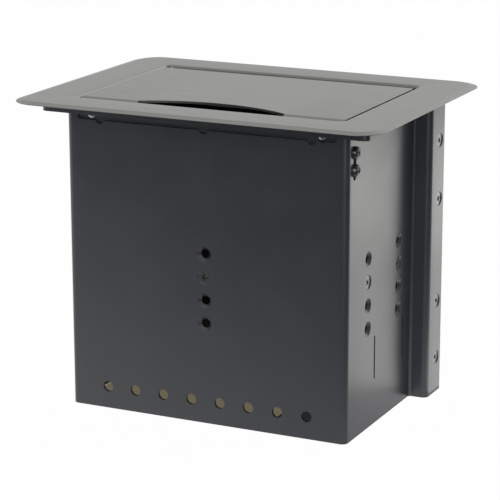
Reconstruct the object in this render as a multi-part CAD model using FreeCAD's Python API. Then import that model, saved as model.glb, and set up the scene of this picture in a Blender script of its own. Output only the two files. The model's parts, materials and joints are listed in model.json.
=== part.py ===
"""Conference table box: a folded steel box that hangs in a table, under a brushed aluminium frame.

The lid turns up and back about two pivots hidden below its rear edge. Cables leave the closed box
through the arc in the lid's front edge. Units are millimetres, +Z is up, -Y is the front, and the
origin is on the floor under the middle of the frame.
"""
import FreeCAD, Part
import math
import os

V = FreeCAD.Vector
X = V(1, 0, 0)
Y = V(0, 1, 0)
Z = V(0, 0, 1)

# Sheet steel and fits
sheet = 2.0                   # wall of the folded steel parts
thin_sheet = 1.5              # lid carrier and lid rests
bend = 1.0                    # inside radius of a fold of the inner parts
shell_bend = 2.0              # inside radius of the shell's folds
thread_gap = 0.05             # radial play drawn between a screw and its thread
screw_play = 0.25             # radial play of a screw in a plain hole
pin_play = 0.05               # running play of the lid's bushes on their pins
rest_gap = 0.1                # air between the closed lid and its rubber bumpers

# Opening in the top frame, which sets the width and depth of everything below it
opening_width = 182.0
opening_depth = 124.5
opening_corner = 4.0
opening_round = 2.4           # soft top edge of the opening
skirt_depth = 4.0             # frame's underside to the lower edge of the skirt round the opening
skirt_thick = 1.5

# Top frame
frame_thick = 1.5
frame_corner = 19.0
frame_edge = 0.3              # upright edge left under the bevel
frame_side_lap = 13.5         # collar's side to the frame's edge
frame_front_lap = 21.0        # collar's front to the frame's edge
bevel_width = 5.2

# Mounting collar and the studs that hold the frame to it
collar_gap = 0.5              # frame's skirt to the collar's opening
collar_side_margin = 2.5      # rear bay to the collar's side
collar_front_margin = 6.0     # front wall to the collar's front
collar_corner = 4.0
collar_drop = 7.35            # frame's underside to the collar's lower edge
collar_seat = 0.4             # depth of the register in the frame that centres the collar
seat_play = 0.25
stud_out = 5.5                # side wall to the studs
stud_step = 8.5               # front face of the step to the rearmost studs
stud_pitch = 37.5
stud_count = 3

# Box
wall_height = 198.9           # floor to the top edge of the walls
wall_shelf = 1.5              # collar's opening to the inside of the side walls
front_shelf = 0.25            # collar's opening to the inside of the front wall
rear_inset = 0.25             # frame's opening to the rear panel's outer face
bay_step = 12.5               # how far the rear bay stands out from a side wall
bay_depth = 23.5              # rear face to the front face of the step
rear_lip = 15.0               # how far the rear panel's folded lips reach forward

# Front window with its three half-round notches
window_inset = 7.5            # side of the box to the window's end
window_under = 0.1            # rivet heads to the window's lower edge
window_corner = 3.0
notch_radius = 3.5
notch_depth = 2.3
notch_inset = 16.5            # window's end to the outer notches

# Holes and slots in the walls
tie_hole = 7.0
tie_pitch = 20.0
tie_count = 8
tie_height = 14.5
column_pitch = 15.0
column_count = 4
column_low = 65.5             # floor to the lowest hole of a height column
column_backs = (33.5, 83.5)   # front face to the height columns in each side wall
strap_slot = 1.8
strap_slot_length = 28.0
strap_slot_low = 30.0
strap_slot_backs = (45.0, 92.0)
rail_screw_back = 10.2        # front face to the rail screws
rail_screw_drops = (14.0, 25.0)
rail_slot_above = 3.5         # upper rail screw to the upper end of its slot
rail_slot_below = 6.0         # lower rail screw to the lower end of its slot
bay_screw_inset = 7.5         # rear face to the bay screws
bay_screws_low = (24.0, 62.5)     # up from the floor
bay_screws_high = (67.9, 29.4)    # down from the top edge

# Screws, nuts and rivets
m4 = 4.0
csk_head = 8.3
csk_sink = 0.675              # countersunk head below the surface
pan_head = 8.0
pan_height = 3.1
pan_rim = 1.3                 # upright rim of the head
pan_crown = 4.6               # flat on top of the head
nut_flats = 7.0
nut_height = 3.2
screw_tail = 1.0              # screw left beyond its nut
m3 = 3.0
m3_head = 5.5
m3_height = 2.0
m3_rim = 0.8
m3_crown = 3.2
rivet = 3.2
rivet_head = 5.2
rivet_height = 1.1
rivet_rim = 0.4
rivet_crown = 2.6
rivet_upset = 0.1             # how far the closed end stands out past the shank
rivet_tail = 0.8
rivet_gap = 0.1               # closed end to the fold of the lid rest

# Lid
lid_thick = 1.5
lid_sink = 0.3                # frame's top to the lid's top
lid_gap_side = 0.5
lid_gap_front = 6.5
lid_gap_rear = 8.0
lid_corner = 3.0
lid_round = 0.5               # soft top edge of the lid
arc_chord = 100.0
arc_depth = 12.5
arc_blend = 6.0
carrier_inset = 9.0           # lid's side edge to the carrier's side
carrier_front_inset = 17.5    # lid's front edge to the carrier's front edge
carrier_flange = 3.0          # depth of the carrier's side flange at the front

# Hinge
pivot_inset = 4.5             # lid's rear edge to the pivot
pivot_drop = 5.5              # lid's top to the pivot
stop_angle = 110.0            # where the lid's rear edge lands on the brackets, in degrees
pin_diameter = 4.0
pin_head = 6.0
pin_head_thick = 1.2
pin_tail = 1.6                # pin beyond the carrier's arm
clip_thick = 0.6
clip_wide = 1.0
clip_groove = 0.3
bush_wall = 1.0
bush_flange = 0.4             # thickness of the bush's flange
bush_flange_inset = 0.1       # rim of the arm's eye to the bush's flange
arm_clear = 0.1               # eye of the carrier's arm to the lid
hinge_gap = 0.5               # carrier's arm to the bracket
lid_clear = 0.7               # bracket to the lid, over its travel
bracket_flange = 17.0         # width of the bracket on the rear panel
bracket_top_drop = 8.5        # pivot to the top of the bracket's flange
bracket_low_drop = 32.0       # pivot to the bottom of the bracket
hinge_screw_side = 12.0       # bracket's inner face to its screws
hinge_screw_drops = (14.5, 26.5)

# Front rail, lid rests and bumpers
rail_gap = 0.5                # frame's skirt to the top edges of the rail and the rear panel
rail_height = 31.5
rail_tab = 16.0               # how far the rail's tabs run back along the side walls
rest_side = 15.5              # side wall to the middle of a lid rest
rest_width = 18.0
rest_leg = 17.5
rest_height = 17.5
bumper = 9.0
bumper_rim = 3.0
bumper_crown = 6.0
bumper_stem = 4.0
bumper_tail = 2.0
bumper_inset = 5.5            # lid's front edge to the bumpers

# Connection panel
panel_rise = 8.5              # panel screws to the panel's top
panel_flange = 18.0
panel_step_gap = 2.5          # front face of the step to the panel's rear edge
panel_relief = 4.0            # corner notch between the front and side flanges
trim_wide = 5.0
trim_grip = 3.0
trim_round = 2.2
trim_end = 6.5                # side wall to the end of the trim

# Power sockets
socket_count = 2
socket_recess = 39.0
recess_deep = 17.5
socket_wall = 1.5
socket_face_lap = 1.5         # face beyond the body
socket_base = 3.0             # below the contact sleeves
socket_lip = 2.5              # face above the panel
socket_corner = 3.0
socket_chamfer = 0.8
pin_pitch = 19.0
pin_bore = 5.8
sleeve_wall = 0.5
sleeve_length = 4.0
strip_wide = 4.5              # earth clips
strip_thick = 0.6
strip_bow = 1.8
strip_height = 11.0
module_play = 0.2             # module body in its cut-out, each side

# Mains inlet under the first socket
inlet_length = 30.0
inlet_width = 18.0
inlet_deep = 16.0
inlet_wall = 2.0
inlet_pin = 3.0
inlet_pitch = 8.5

# Signal and charging inserts
insert_count = 3
insert_width = 22.0
insert_length = 45.0
insert_plate = 1.5
insert_corner = 1.5
insert_wall = 0.9             # beside the widest port
insert_body_length = 28.0
insert_deep = 20.0
insert_screw_edge = 3.5       # end of the plate to its screw
port_deep = 12.0
tongue_thick = 1.4
tongue_side = 0.6             # end of a charger's tongue to the port's wall
network_width = 12.0
network_height = 8.2
latch_width = 6.2
latch_height = 3.6
video_width = 15.2
video_height = 5.8
video_taper = 2.2
charger_width = 12.6
charger_height = 5.2
charger_pitch = 12.0

# Protective earth
earth_back = 71.5             # front face to the earth stud
earth_height = 24.0
m5 = 5.0
earth_stud_length = 14.0
earth_foot = 8.0
earth_foot_thick = 1.0
earth_washer_width = 10.0
earth_washer_thick = 1.0
earth_nut_flats = 8.0
earth_nut_height = 4.0

# Places across the box that follow from the sizes above
opening_x = opening_width / 2
opening_y = opening_depth / 2
skirt_x = opening_x + skirt_thick
skirt_y = opening_y + skirt_thick
side_in = skirt_x + collar_gap + wall_shelf
side_out = side_in + sheet
front_in = -(skirt_y + collar_gap + front_shelf)
front_out = front_in - sheet
rear_out = opening_y - rear_inset
rear_in = rear_out - sheet
step_front = rear_out - bay_depth
bay_out = side_out + bay_step
bay_in = bay_out - sheet
collar_x = bay_out + collar_side_margin
collar_y = collar_front_margin - front_out
frame_x = collar_x + frame_side_lap
frame_y = collar_y + frame_front_lap
stud_x = side_out + stud_out
stud_places = [step_front - stud_step - stud_pitch * step for step in range(stud_count)]

# Heights that follow
collar_top = wall_height + sheet
rim_z = collar_top - collar_seat
top_z = rim_z + frame_thick
skirt_z = rim_z - skirt_depth
rail_top = skirt_z - rail_gap
rivet_z = rail_top - thin_sheet - bend - rivet_gap - rivet / 2 - rivet_upset
window_z = rivet_z - rivet_head / 2 - window_under
column_heights = [column_low + column_pitch * step for step in range(column_count)]
panel_screw_z = column_heights[-2]        # the panel hangs in the second hole from the top
panel_z = panel_screw_z + panel_rise
under_panel_z = panel_z - sheet

# Lid and hinge
lid_half = opening_x - lid_gap_side
lid_front = -opening_y + lid_gap_front
lid_rear = opening_y - lid_gap_rear
lid_top = top_z - lid_sink
lid_under = lid_top - lid_thick
pivot_y = lid_rear - pivot_inset
pivot_z = lid_top - pivot_drop
arm_out = lid_half - carrier_inset
arm_in = arm_out - thin_sheet
arm_eye = pivot_drop - lid_thick - arm_clear
bracket_in = arm_out + hinge_gap
bracket_out = bracket_in + sheet
bracket_eye = pivot_drop - lid_thick - lid_clear
hinge_screw_x = bracket_in + hinge_screw_side
rest_x = side_in - rest_side
rest_y = front_in + sheet
bumper_y = lid_front + bumper_inset

# Modules in the panel
csk_mouth = csk_head + 2 * csk_sink
two_sheets = 2 * sheet
panel_rear = step_front - panel_step_gap
module_y = (front_in + panel_rear) / 2
socket_body = socket_recess + 2 * socket_wall
socket_face = socket_body + 2 * socket_face_lap
socket_floor_z = panel_z + socket_lip - recess_deep
socket_low_z = socket_floor_z - sleeve_length - socket_base
insert_body_width = video_width + 2 * insert_wall
insert_screw_y = insert_length / 2 - insert_screw_edge
insert_top_z = panel_z + insert_plate
port_low_z = insert_top_z - port_deep


def box(x0, x1, y0, y1, z0, z1):
    """Block between two opposite corners."""
    return Part.makeBox(x1 - x0, y1 - y0, z1 - z0, V(x0, y0, z0))


def cylinder(place, axis, diameter, length):
    """Round bar that starts at a place and runs along an axis."""
    return Part.makeCylinder(diameter / 2, length, place, axis)


def mirrored(shape):
    """Copy on the other side of the box."""
    return shape.mirror(V(0, 0, 0), X)


def both_sides(shapes):
    """The shapes with their copies on the other side."""
    return shapes + [mirrored(shape) for shape in shapes]


def joined(shapes):
    """One solid from shapes that touch or overlap."""
    return shapes[0].multiFuse(shapes[1:]).removeSplitter()


def rounded_wire(corners):
    """Closed wire in XY through (x, y, radius) corners, each rounded by its radius."""
    points = [V(x, y, 0) for x, y, radius in corners]
    edges = []
    joints = []
    for i, (x, y, radius) in enumerate(corners):
        here = points[i]
        back = (points[i - 1] - here).normalize()
        ahead = (points[(i + 1) % len(points)] - here).normalize()
        half = back.getAngle(ahead) / 2
        reach = radius / math.tan(half)
        start = here + back * reach
        end = here + ahead * reach
        joints.append((start, end))
        if radius > 0:
            centre = here + (back + ahead).normalize() * (radius / math.sin(half))
            middle = centre + (here - centre).normalize() * radius
            edges.append(Part.Arc(start, middle, end).toShape())
    for i, (start, end) in enumerate(joints):
        after = joints[(i + 1) % len(joints)][0]
        if end.distanceToPoint(after) > 1e-6:
            edges.append(Part.LineSegment(end, after).toShape())
    return Part.Wire(Part.__sortEdges__(edges))


def rectangle(width, depth, radius, z=0.0, x=0.0, y=0.0):
    """Wire of a rounded rectangle about (x, y) at a height."""
    a = width / 2
    b = depth / 2
    wire = rounded_wire([(-a, -b, radius), (a, -b, radius), (a, b, radius), (-a, b, radius)])
    wire.translate(V(x, y, z))
    return wire


def plate(width, depth, radius, z0, z1, x=0.0, y=0.0):
    """Rounded rectangle about (x, y), between two heights."""
    return Part.Face(rectangle(width, depth, radius, z0, x, y)).extrude(Z * (z1 - z0))


def prism(points, length):
    """Straight-sided outline in XY, extruded along Z."""
    return Part.Face(rounded_wire([(x, y, 0) for x, y in points])).extrude(Z * length)


def turned(profile):
    """Turned piece about Z from a closed (radius, z) profile."""
    points = [V(radius, 0, z) for radius, z in profile]
    return Part.Face(Part.makePolygon(points + points[:1])).revolve(V(0, 0, 0), Z, 360)


def fold(path, length, thickness, radius=bend):
    """Folded sheet. Its outer face follows the path in XY, the sheet lies left of it, and it runs along Z."""
    points = [V(x, y, 0) for x, y in path]
    outside = []
    inside = []
    for i, point in enumerate(points):
        runs = []
        if i > 0:
            runs.append((point - points[i - 1]).normalize())
        if i < len(points) - 1:
            runs.append((points[i + 1] - point).normalize())
        normals = [V(-run.y, run.x, 0) for run in runs]
        if len(runs) == 1:
            offset = point + normals[0] * thickness
            radii = (0, 0)
        else:
            total = normals[0] + normals[1]
            offset = point + total * (thickness / (1 + normals[0].dot(normals[1])))
            radii = (radius + thickness, radius)
            if runs[0].cross(runs[1]).z < 0:
                radii = (radius, radius + thickness)
        outside.append((point.x, point.y, radii[0]))
        inside.append((offset.x, offset.y, radii[1]))
    return Part.Face(rounded_wire(outside + inside[::-1])).extrude(Z * length)


def across(shape, x):
    """Turn a profile drawn in (Y, Z) so that it runs along +X from a place."""
    shape.Placement = FreeCAD.Placement(V(x, 0, 0), FreeCAD.Rotation(Y, Z, X, "XYZ"))
    return shape


def forward(shape, y):
    """Turn a profile drawn in (X, Z) so that it runs along -Y from a place."""
    shape.Placement = FreeCAD.Placement(V(0, y, 0), FreeCAD.Rotation(X, Z, -Y, "XYZ"))
    return shape


def aimed(shape, place, axis):
    """Turn a piece drawn along +Z so that it starts at a place and points along an axis."""
    shape.Placement = FreeCAD.Placement(place, FreeCAD.Rotation(Z, axis))
    return shape


def on_height(edge, z):
    """Whether an edge lies flat at a height."""
    bounds = edge.BoundBox
    return abs(bounds.ZMin - z) < 1e-4 and abs(bounds.ZMax - z) < 1e-4


def within(edge, x, y):
    """Whether an edge lies inside a rectangle about the origin, its border included."""
    bounds = edge.BoundBox
    wide = max(abs(bounds.XMin), abs(bounds.XMax)) < x + 1e-4
    return wide and max(abs(bounds.YMin), abs(bounds.YMax)) < y + 1e-4


def csk_hole(place, inward):
    """Tool for a countersunk hole through two sheets, from the outer face."""
    hole = m4 + 2 * thread_gap
    cone = Part.makeCone(csk_mouth / 2, hole / 2, (csk_mouth - hole) / 2)
    return aimed(cone.fuse(Part.makeCylinder(hole / 2, 2 * two_sheets)), place, inward)


def csk_screw(place, inward, length):
    """Countersunk screw in such a hole, its head just below the outer face."""
    under = csk_sink + (csk_head - m4) / 2
    profile = [(0, csk_sink), (csk_head / 2, csk_sink), (m4 / 2, under), (m4 / 2, length), (0, length)]
    return aimed(turned(profile), place, inward)


def headed_bar(head, height, rim, crown, shank, length):
    """Round bar along +Z whose head, with an upright rim and a flat crown, stands below z = 0."""
    return turned([(0, -height), (crown / 2, -height), (head / 2, -rim), (head / 2, 0), (shank / 2, 0),
                   (shank / 2, length), (0, length)])


def nut(place, axis, flats, height, thread):
    """Hexagon nut that starts at a place and runs along an axis."""
    corner = flats / math.sqrt(3)
    points = [(corner * math.cos(math.pi * k / 3), corner * math.sin(math.pi * k / 3)) for k in range(6)]
    bore = Part.makeCylinder(thread / 2 + thread_gap, height)
    return aimed(prism(points, height).cut(bore), place, axis)


def seats_on_sides(x, y, heights):
    """(place, inward) of seats at these heights on both sides of the box."""
    right = [(V(x, y, z), -X) for z in heights]
    return right + [(V(-x, y, z), X) for z in heights]


def column_seats():
    """Every countersunk hole of the height columns, in the front and side walls."""
    seats = [(V(0, front_out, z), Y) for z in column_heights]
    for back in column_backs:
        seats += seats_on_sides(side_out, front_out + back, column_heights)
    return seats


def panel_seats():
    """The holes of the columns that carry the connection panel."""
    return [(place, inward) for place, inward in column_seats() if place.z == panel_screw_z]


def bay_seats():
    """Countersunk screws through the bay into the rear panel's lips."""
    heights = list(bay_screws_low) + [wall_height - drop for drop in bay_screws_high]
    return seats_on_sides(bay_out, rear_out - bay_screw_inset, heights)


def rail_seats():
    """Pan-head screws that hold the front rail."""
    return seats_on_sides(side_out, front_out + rail_screw_back, [rail_top - drop for drop in rail_screw_drops])


def hinge_seats():
    """Countersunk screws that hold the hinge brackets."""
    heights = [pivot_z - drop for drop in hinge_screw_drops]
    return [(V(x, rear_out, z), -Y) for x in (hinge_screw_x, -hinge_screw_x) for z in heights]


def csk_holes(seats):
    """Tools for the countersunk holes of seats."""
    return [csk_hole(place, inward) for place, inward in seats]


def csk_screws(seats):
    """Countersunk screws that clamp two sheets and a nut."""
    return [csk_screw(place, inward, two_sheets + nut_height + screw_tail) for place, inward in seats]


def nuts(seats):
    """Nuts behind two sheets on the inner side of seats."""
    return [nut(place + inward * two_sheets, inward, nut_flats, nut_height, m4) for place, inward in seats]


def module_places():
    """Middles of the sockets and inserts, evenly spaced between the nuts on the panel's two sides."""
    widths = [socket_face] * socket_count + [insert_width] * insert_count
    half = side_in - sheet - nut_height - screw_tail
    gap = (2 * half - sum(widths)) / (len(widths) + 1)
    places = []
    edge = -half
    for width in widths:
        places.append(edge + gap + width / 2)
        edge += gap + width
    return places


def socket_places():
    """Middles of the power sockets."""
    return module_places()[:socket_count]


def insert_places():
    """Middles of the inserts."""
    return module_places()[socket_count:]


def front_shell():
    """Front and side walls in one folded sheet, with a Z fold into the wider rear bay."""
    half = [(bay_out, rear_out), (bay_out, step_front), (side_out, step_front), (side_out, front_out)]
    shell = fold([(-x, y) for x, y in half] + half[::-1], wall_height, sheet, shell_bend)
    tools = front_wall_cuts() + csk_holes(column_seats() + bay_seats()) + side_wall_slots()
    return shell.cut(tools)


def front_wall_cuts():
    """Window with its notches, and the row of tie holes."""
    behind = front_in + sheet
    x = side_out - window_inset
    outline = [(-x, window_z, window_corner), (x, window_z, window_corner), (x, collar_top, 0), (-x, collar_top, 0)]
    tools = [forward(Part.Face(rounded_wire(outline)).extrude(Z * (2 * two_sheets)), behind)]
    notch_z = window_z + notch_radius - notch_depth
    for place in (notch_inset - x, 0, x - notch_inset):
        tools.append(cylinder(V(place, behind, notch_z), -Y, 2 * notch_radius, 2 * two_sheets))
    for step in range(tie_count):
        place = (step - (tie_count - 1) / 2) * tie_pitch
        tools.append(cylinder(V(place, behind, tie_height), -Y, tie_hole, 2 * two_sheets))
    return tools


def side_wall_slots():
    """Strap slots and the slots for the rail screws, each cut through both side walls at once."""
    tools = []
    for back in strap_slot_backs:
        y = front_out + back
        tools.append(box(-bay_out, bay_out, y - strap_slot / 2, y + strap_slot / 2,
                         strap_slot_low, strap_slot_low + strap_slot_length))
    width = m4 + 2 * screw_play
    top = rail_top - min(rail_screw_drops) + rail_slot_above
    low = rail_top - max(rail_screw_drops) - rail_slot_below
    wire = rectangle(width, top - low, width / 2, 0, front_out + rail_screw_back, (top + low) / 2)
    tools.append(across(Part.Face(wire).extrude(Z * (2 * bay_out)), -bay_out))
    return tools


def rear_panel():
    """Back of the box: a folded channel whose lips lie inside the bay."""
    lip_y = rear_out - rear_lip
    path = [(bay_in, lip_y), (bay_in, rear_out), (-bay_in, rear_out), (-bay_in, lip_y)]
    return fold(path, rail_top, sheet).cut(csk_holes(bay_seats() + hinge_seats()))


def mounting_collar():
    """Folded ring under the frame. Its rim drops into the table's cut-out."""
    low = rim_z - collar_drop
    outer = plate(2 * collar_x, 2 * collar_y, collar_corner, low, collar_top)
    hollow = plate(2 * (collar_x - sheet), 2 * (collar_y - sheet), collar_corner - sheet, low, wall_height)
    opening = plate(2 * (skirt_x + collar_gap), 2 * (skirt_y + collar_gap), opening_corner, low, collar_top)
    holes = [cylinder(V(x, y, wall_height), Z, m4 + 2 * screw_play, sheet)
             for x in (stud_x, -stud_x) for y in stud_places]
    return outer.cut([hollow, opening] + holes)


def top_frame():
    """Frame plate with a shallow outer bevel, a rounded opening, a skirt and a register for the collar."""
    bevel_z = rim_z + frame_edge
    edge = plate(2 * frame_x, 2 * frame_y, frame_corner, rim_z, bevel_z)
    lower = rectangle(2 * frame_x, 2 * frame_y, frame_corner, bevel_z)
    upper = rectangle(2 * (frame_x - bevel_width), 2 * (frame_y - bevel_width), frame_corner - bevel_width, top_z)
    bevel = Part.makeLoft([lower, upper], True, True)
    register = plate(2 * (collar_x + seat_play), 2 * (collar_y + seat_play), collar_corner, rim_z, collar_top)
    skirt = plate(2 * skirt_x, 2 * skirt_y, opening_corner + skirt_thick, skirt_z, collar_top)
    opening = plate(opening_width, opening_depth, opening_corner, skirt_z, top_z)
    frame = joined([joined([edge, bevel]).cut(register), skirt]).cut(opening)
    rim = [e for e in frame.Edges if on_height(e, top_z) and within(e, opening_x, opening_y)]
    return frame.makeFillet(opening_round, rim)


def frame_studs():
    """Right-hand studs under the frame."""
    length = sheet + nut_height + screw_tail
    return [cylinder(V(stud_x, y, collar_top), -Z, m4, length) for y in stud_places]


def frame_nuts():
    """Right-hand nuts that pull the frame onto the collar."""
    return [nut(V(stud_x, y, wall_height), -Z, nut_flats, nut_height, m4) for y in stud_places]


def lid_plate():
    """Lid with soft edges and the arc for cables in its front edge."""
    middle = (lid_front + lid_rear) / 2
    lid = plate(2 * lid_half, lid_rear - lid_front, lid_corner, lid_under, lid_top, 0, middle)
    radius = ((arc_chord / 2) ** 2 + arc_depth ** 2) / (2 * arc_depth)
    centre = V(0, lid_front + arc_depth - radius, lid_under)
    lid = lid.cut(cylinder(centre, Z, 2 * radius, lid_thick))
    ends = []
    for edge in lid.Edges:
        point = edge.CenterOfMass
        upright = edge.BoundBox.ZLength > lid_thick / 2
        if upright and abs(point.y - lid_front) < 1e-4 and abs(abs(point.x) - arc_chord / 2) < 1e-4:
            ends.append(edge)
    lid = lid.makeFillet(arc_blend, ends)
    return lid.makeFillet(lid_round, [edge for edge in lid.Edges if on_height(edge, lid_top)])


def lid_carrier():
    """Tray bonded under the lid. Its side flanges run back into the two hinge arms."""
    front = lid_front + carrier_front_inset
    back = pivot_y - arm_eye - thin_sheet
    tray_z = lid_under - thin_sheet
    tray = box(-arm_out, arm_out, front, back, tray_z, lid_under)
    outline = [(front, lid_under), (front, tray_z - carrier_flange), (pivot_y - arm_eye, pivot_z - arm_eye),
               (pivot_y, pivot_z - arm_eye), (pivot_y, lid_under)]
    pivot = V(arm_in, pivot_y, pivot_z)
    arm = across(prism(outline, thin_sheet), arm_in).fuse(cylinder(pivot, X, 2 * arm_eye, thin_sheet))
    arm = arm.cut(cylinder(pivot, X, pin_diameter + 2 * (pin_play + bush_wall), thin_sheet))
    return joined([tray] + both_sides([arm]))


def hinge_bracket():
    """Right-hand bracket: an eye for the pin on a neck, whose shoulder stops the open lid."""
    stop = math.radians(stop_angle)
    shoulder = pivot_inset * math.sin(stop) - pivot_drop * math.cos(stop)
    neck_back = (bracket_eye + shoulder * math.cos(stop)) / math.sin(stop)
    shoulder_z = pivot_z - shoulder
    top = pivot_z - bracket_top_drop
    low = pivot_z - bracket_low_drop
    neck_front = pivot_y - bracket_eye
    outline = [(neck_front, pivot_z), (neck_front, (shoulder_z + low) / 2), (pivot_y, low), (rear_in, low),
               (rear_in, top), (rear_in - sheet, shoulder_z), (pivot_y + neck_back, shoulder_z),
               (pivot_y + bracket_eye, pivot_z)]
    pivot = V(bracket_in, pivot_y, pivot_z)
    ear = across(prism(outline, sheet), bracket_in).fuse(cylinder(pivot, X, 2 * bracket_eye, sheet))
    root = rear_in - sheet - bend
    corner = box(bracket_in, bracket_out, root, rear_in, low, shoulder_z)
    path = [(bracket_in + bracket_flange, rear_in), (bracket_in, rear_in), (bracket_in, root - sheet)]
    flange = fold(path, top - low, sheet)
    flange.translate(V(0, 0, low))
    bracket = joined([ear.cut(corner), flange])
    return bracket.cut([cylinder(pivot, X, pin_diameter, sheet)] + csk_holes(hinge_seats()))


def hinge_pin():
    """Right-hand pin: head outside the bracket, groove for the clip inside the carrier's arm."""
    length = pin_head_thick + bracket_out - arm_in + pin_tail
    radius = pin_diameter / 2
    groove = length - (pin_tail + clip_thick) / 2
    profile = [(0, 0), (pin_head / 2, 0), (pin_head / 2, pin_head_thick), (radius, pin_head_thick), (radius, groove),
               (radius - clip_groove, groove), (radius - clip_groove, groove + clip_thick),
               (radius, groove + clip_thick), (radius, length), (0, length)]
    return aimed(turned(profile), V(bracket_out + pin_head_thick, pivot_y, pivot_z), -X)


def hinge_clip():
    """Right-hand spring clip in the pin's groove, open towards the bottom."""
    inside = pin_diameter / 2 - clip_groove
    outside = pin_diameter / 2 + clip_wide
    start = V(arm_in - (pin_tail - clip_thick) / 2, pivot_y, pivot_z)
    ring = aimed(turned([(inside, 0), (outside, 0), (outside, clip_thick), (inside, clip_thick)]), start, -X)
    return ring.cut(box(arm_in - pin_tail, arm_in, pivot_y - inside, pivot_y + inside, pivot_z - outside, pivot_z))


def hinge_bush():
    """Right-hand flanged bush in the carrier's arm, which runs on the pin."""
    bore = pin_diameter / 2 + pin_play
    barrel = bore + bush_wall
    flange = arm_eye - bush_flange_inset
    length = bush_flange + thin_sheet
    profile = [(bore, 0), (flange, 0), (flange, bush_flange), (barrel, bush_flange), (barrel, length), (bore, length)]
    return aimed(turned(profile), V(arm_out + bush_flange, pivot_y, pivot_z), -X)


def front_rail():
    """Cross piece behind the window. Its tabs are screwed to the side walls."""
    back = front_in + rail_tab
    rail = fold([(-side_in, back), (-side_in, front_in), (side_in, front_in), (side_in, back)], rail_height, sheet)
    rail.translate(V(0, 0, rail_top - rail_height))
    tools = [cylinder(place, inward, m4 + 2 * thread_gap, 2 * two_sheets) for place, inward in rail_seats()]
    tools += [cylinder(V(x, front_in, rivet_z), Y, rivet, sheet) for x in (rest_x, -rest_x)]
    return rail.cut(tools)


def rail_screws():
    """Pan-head screws that hold the front rail."""
    length = two_sheets + nut_height + screw_tail
    return [aimed(headed_bar(pan_head, pan_height, pan_rim, pan_crown, m4, length), place, inward)
            for place, inward in rail_seats()]


def lid_rest():
    """Right-hand angle on the rail, with a hole for its bumper."""
    path = [(rest_y + rest_leg, rail_top), (rest_y, rail_top), (rest_y, rail_top - rest_height)]
    rest = across(fold(path, rest_width, thin_sheet), rest_x - rest_width / 2)
    hole = cylinder(V(rest_x, bumper_y, rail_top), -Z, bumper_stem, thin_sheet)
    return rest.cut([hole, cylinder(V(rest_x, rest_y, rivet_z), Y, rivet, thin_sheet)])


def rest_rivet():
    """Right-hand rivet, its head towards the window."""
    grip = sheet + thin_sheet
    shank = headed_bar(rivet_head, rivet_height, rivet_rim, rivet_crown, rivet, grip)
    tail = cylinder(V(0, 0, grip), Z, rivet + 2 * rivet_upset, rivet_tail)
    return aimed(joined([shank, tail]), V(rest_x, front_in, rivet_z), Y)


def lid_bumper():
    """Right-hand rubber bumper: a head on the rest and a stem through it."""
    height = lid_under - rest_gap - rail_top
    piece = headed_bar(bumper, height, bumper_rim, bumper_crown, bumper_stem, thin_sheet + bumper_tail)
    return aimed(piece, V(rest_x, bumper_y, rail_top), -Z)


def module_panel():
    """Connection panel: a folded tray, open to the rear where cables pass."""
    low = panel_z - panel_flange
    notch = front_in + panel_relief
    channel = [(side_in, low), (side_in, panel_z), (-side_in, panel_z), (-side_in, low)]
    tray = forward(fold(channel, panel_rear - notch, sheet), panel_rear)
    lip = [(notch + sheet, panel_z), (front_in, panel_z), (front_in, low)]
    lip_half = side_in - panel_relief - sheet
    panel = joined([tray, across(fold(lip, 2 * lip_half, sheet), -lip_half)])
    body = socket_body + 2 * module_play
    tools = [plate(body, body, socket_corner, under_panel_z, panel_z, x, module_y) for x in socket_places()]
    width = insert_body_width + 2 * module_play
    length = insert_body_length + 2 * module_play
    for x in insert_places():
        tools.append(plate(width, length, insert_corner, under_panel_z, panel_z, x, module_y))
        for y in (module_y - insert_screw_y, module_y + insert_screw_y):
            tools.append(cylinder(V(x, y, under_panel_z), Z, m3 + 2 * thread_gap, sheet))
    return panel.cut(tools + csk_holes(panel_seats()))


def panel_edge_trim():
    """Rubber edging that grips the panel's rear edge."""
    middle = panel_z - sheet / 2
    low = middle - trim_wide / 2
    high = middle + trim_wide / 2
    end = side_in - trim_end
    front = panel_rear - trim_grip
    rear = front + trim_wide
    corners = [(front, low, 0), (rear, low, trim_round), (rear, high, trim_round), (front, high, 0)]
    bar = across(Part.Face(rounded_wire(corners)).extrude(Z * (2 * end)), -end)
    return bar.cut(box(-end, end, front, panel_rear, under_panel_z, panel_z))


def power_socket(x):
    """Moulded earthed socket with a round recess and two pin bores."""
    face_z = panel_z + socket_lip
    body = plate(socket_body, socket_body, socket_corner, socket_low_z, panel_z, x, module_y)
    face = plate(socket_face, socket_face, socket_corner, panel_z, face_z, x, module_y)
    face = face.makeChamfer(socket_chamfer, [edge for edge in face.Edges if on_height(edge, face_z)])
    tools = [cylinder(V(x, module_y, socket_floor_z), Z, socket_recess, recess_deep)]
    for place in (x - pin_pitch / 2, x + pin_pitch / 2):
        tools.append(cylinder(V(place, module_y, socket_floor_z), -Z, pin_bore, sleeve_length))
    return joined([body, face]).cut(tools)


def socket_contacts():
    """Contact sleeves in the pin bores of the sockets."""
    outside = pin_bore / 2
    inside = outside - sleeve_wall
    profile = [(inside, 0), (outside, 0), (outside, sleeve_length), (inside, sleeve_length)]
    places = [x + side * pin_pitch / 2 for x in socket_places() for side in (-1, 1)]
    return [aimed(turned(profile), V(x, module_y, socket_floor_z), -Z) for x in places]


def earth_clips(x):
    """Bowed earth clips on the recess wall of a socket, one towards the front and one towards the rear."""
    wall = math.sqrt((socket_recess / 2) ** 2 - (strip_wide / 2) ** 2)
    low = socket_floor_z + strip_thick
    path = [(wall, low), (wall - strip_bow, low + strip_height / 2), (wall, low + strip_height)]
    strip = across(fold(path, strip_wide, strip_thick), x - strip_wide / 2)
    strip.translate(V(0, module_y, 0))
    return [strip, strip.mirror(V(0, module_y, 0), Y)]


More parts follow.
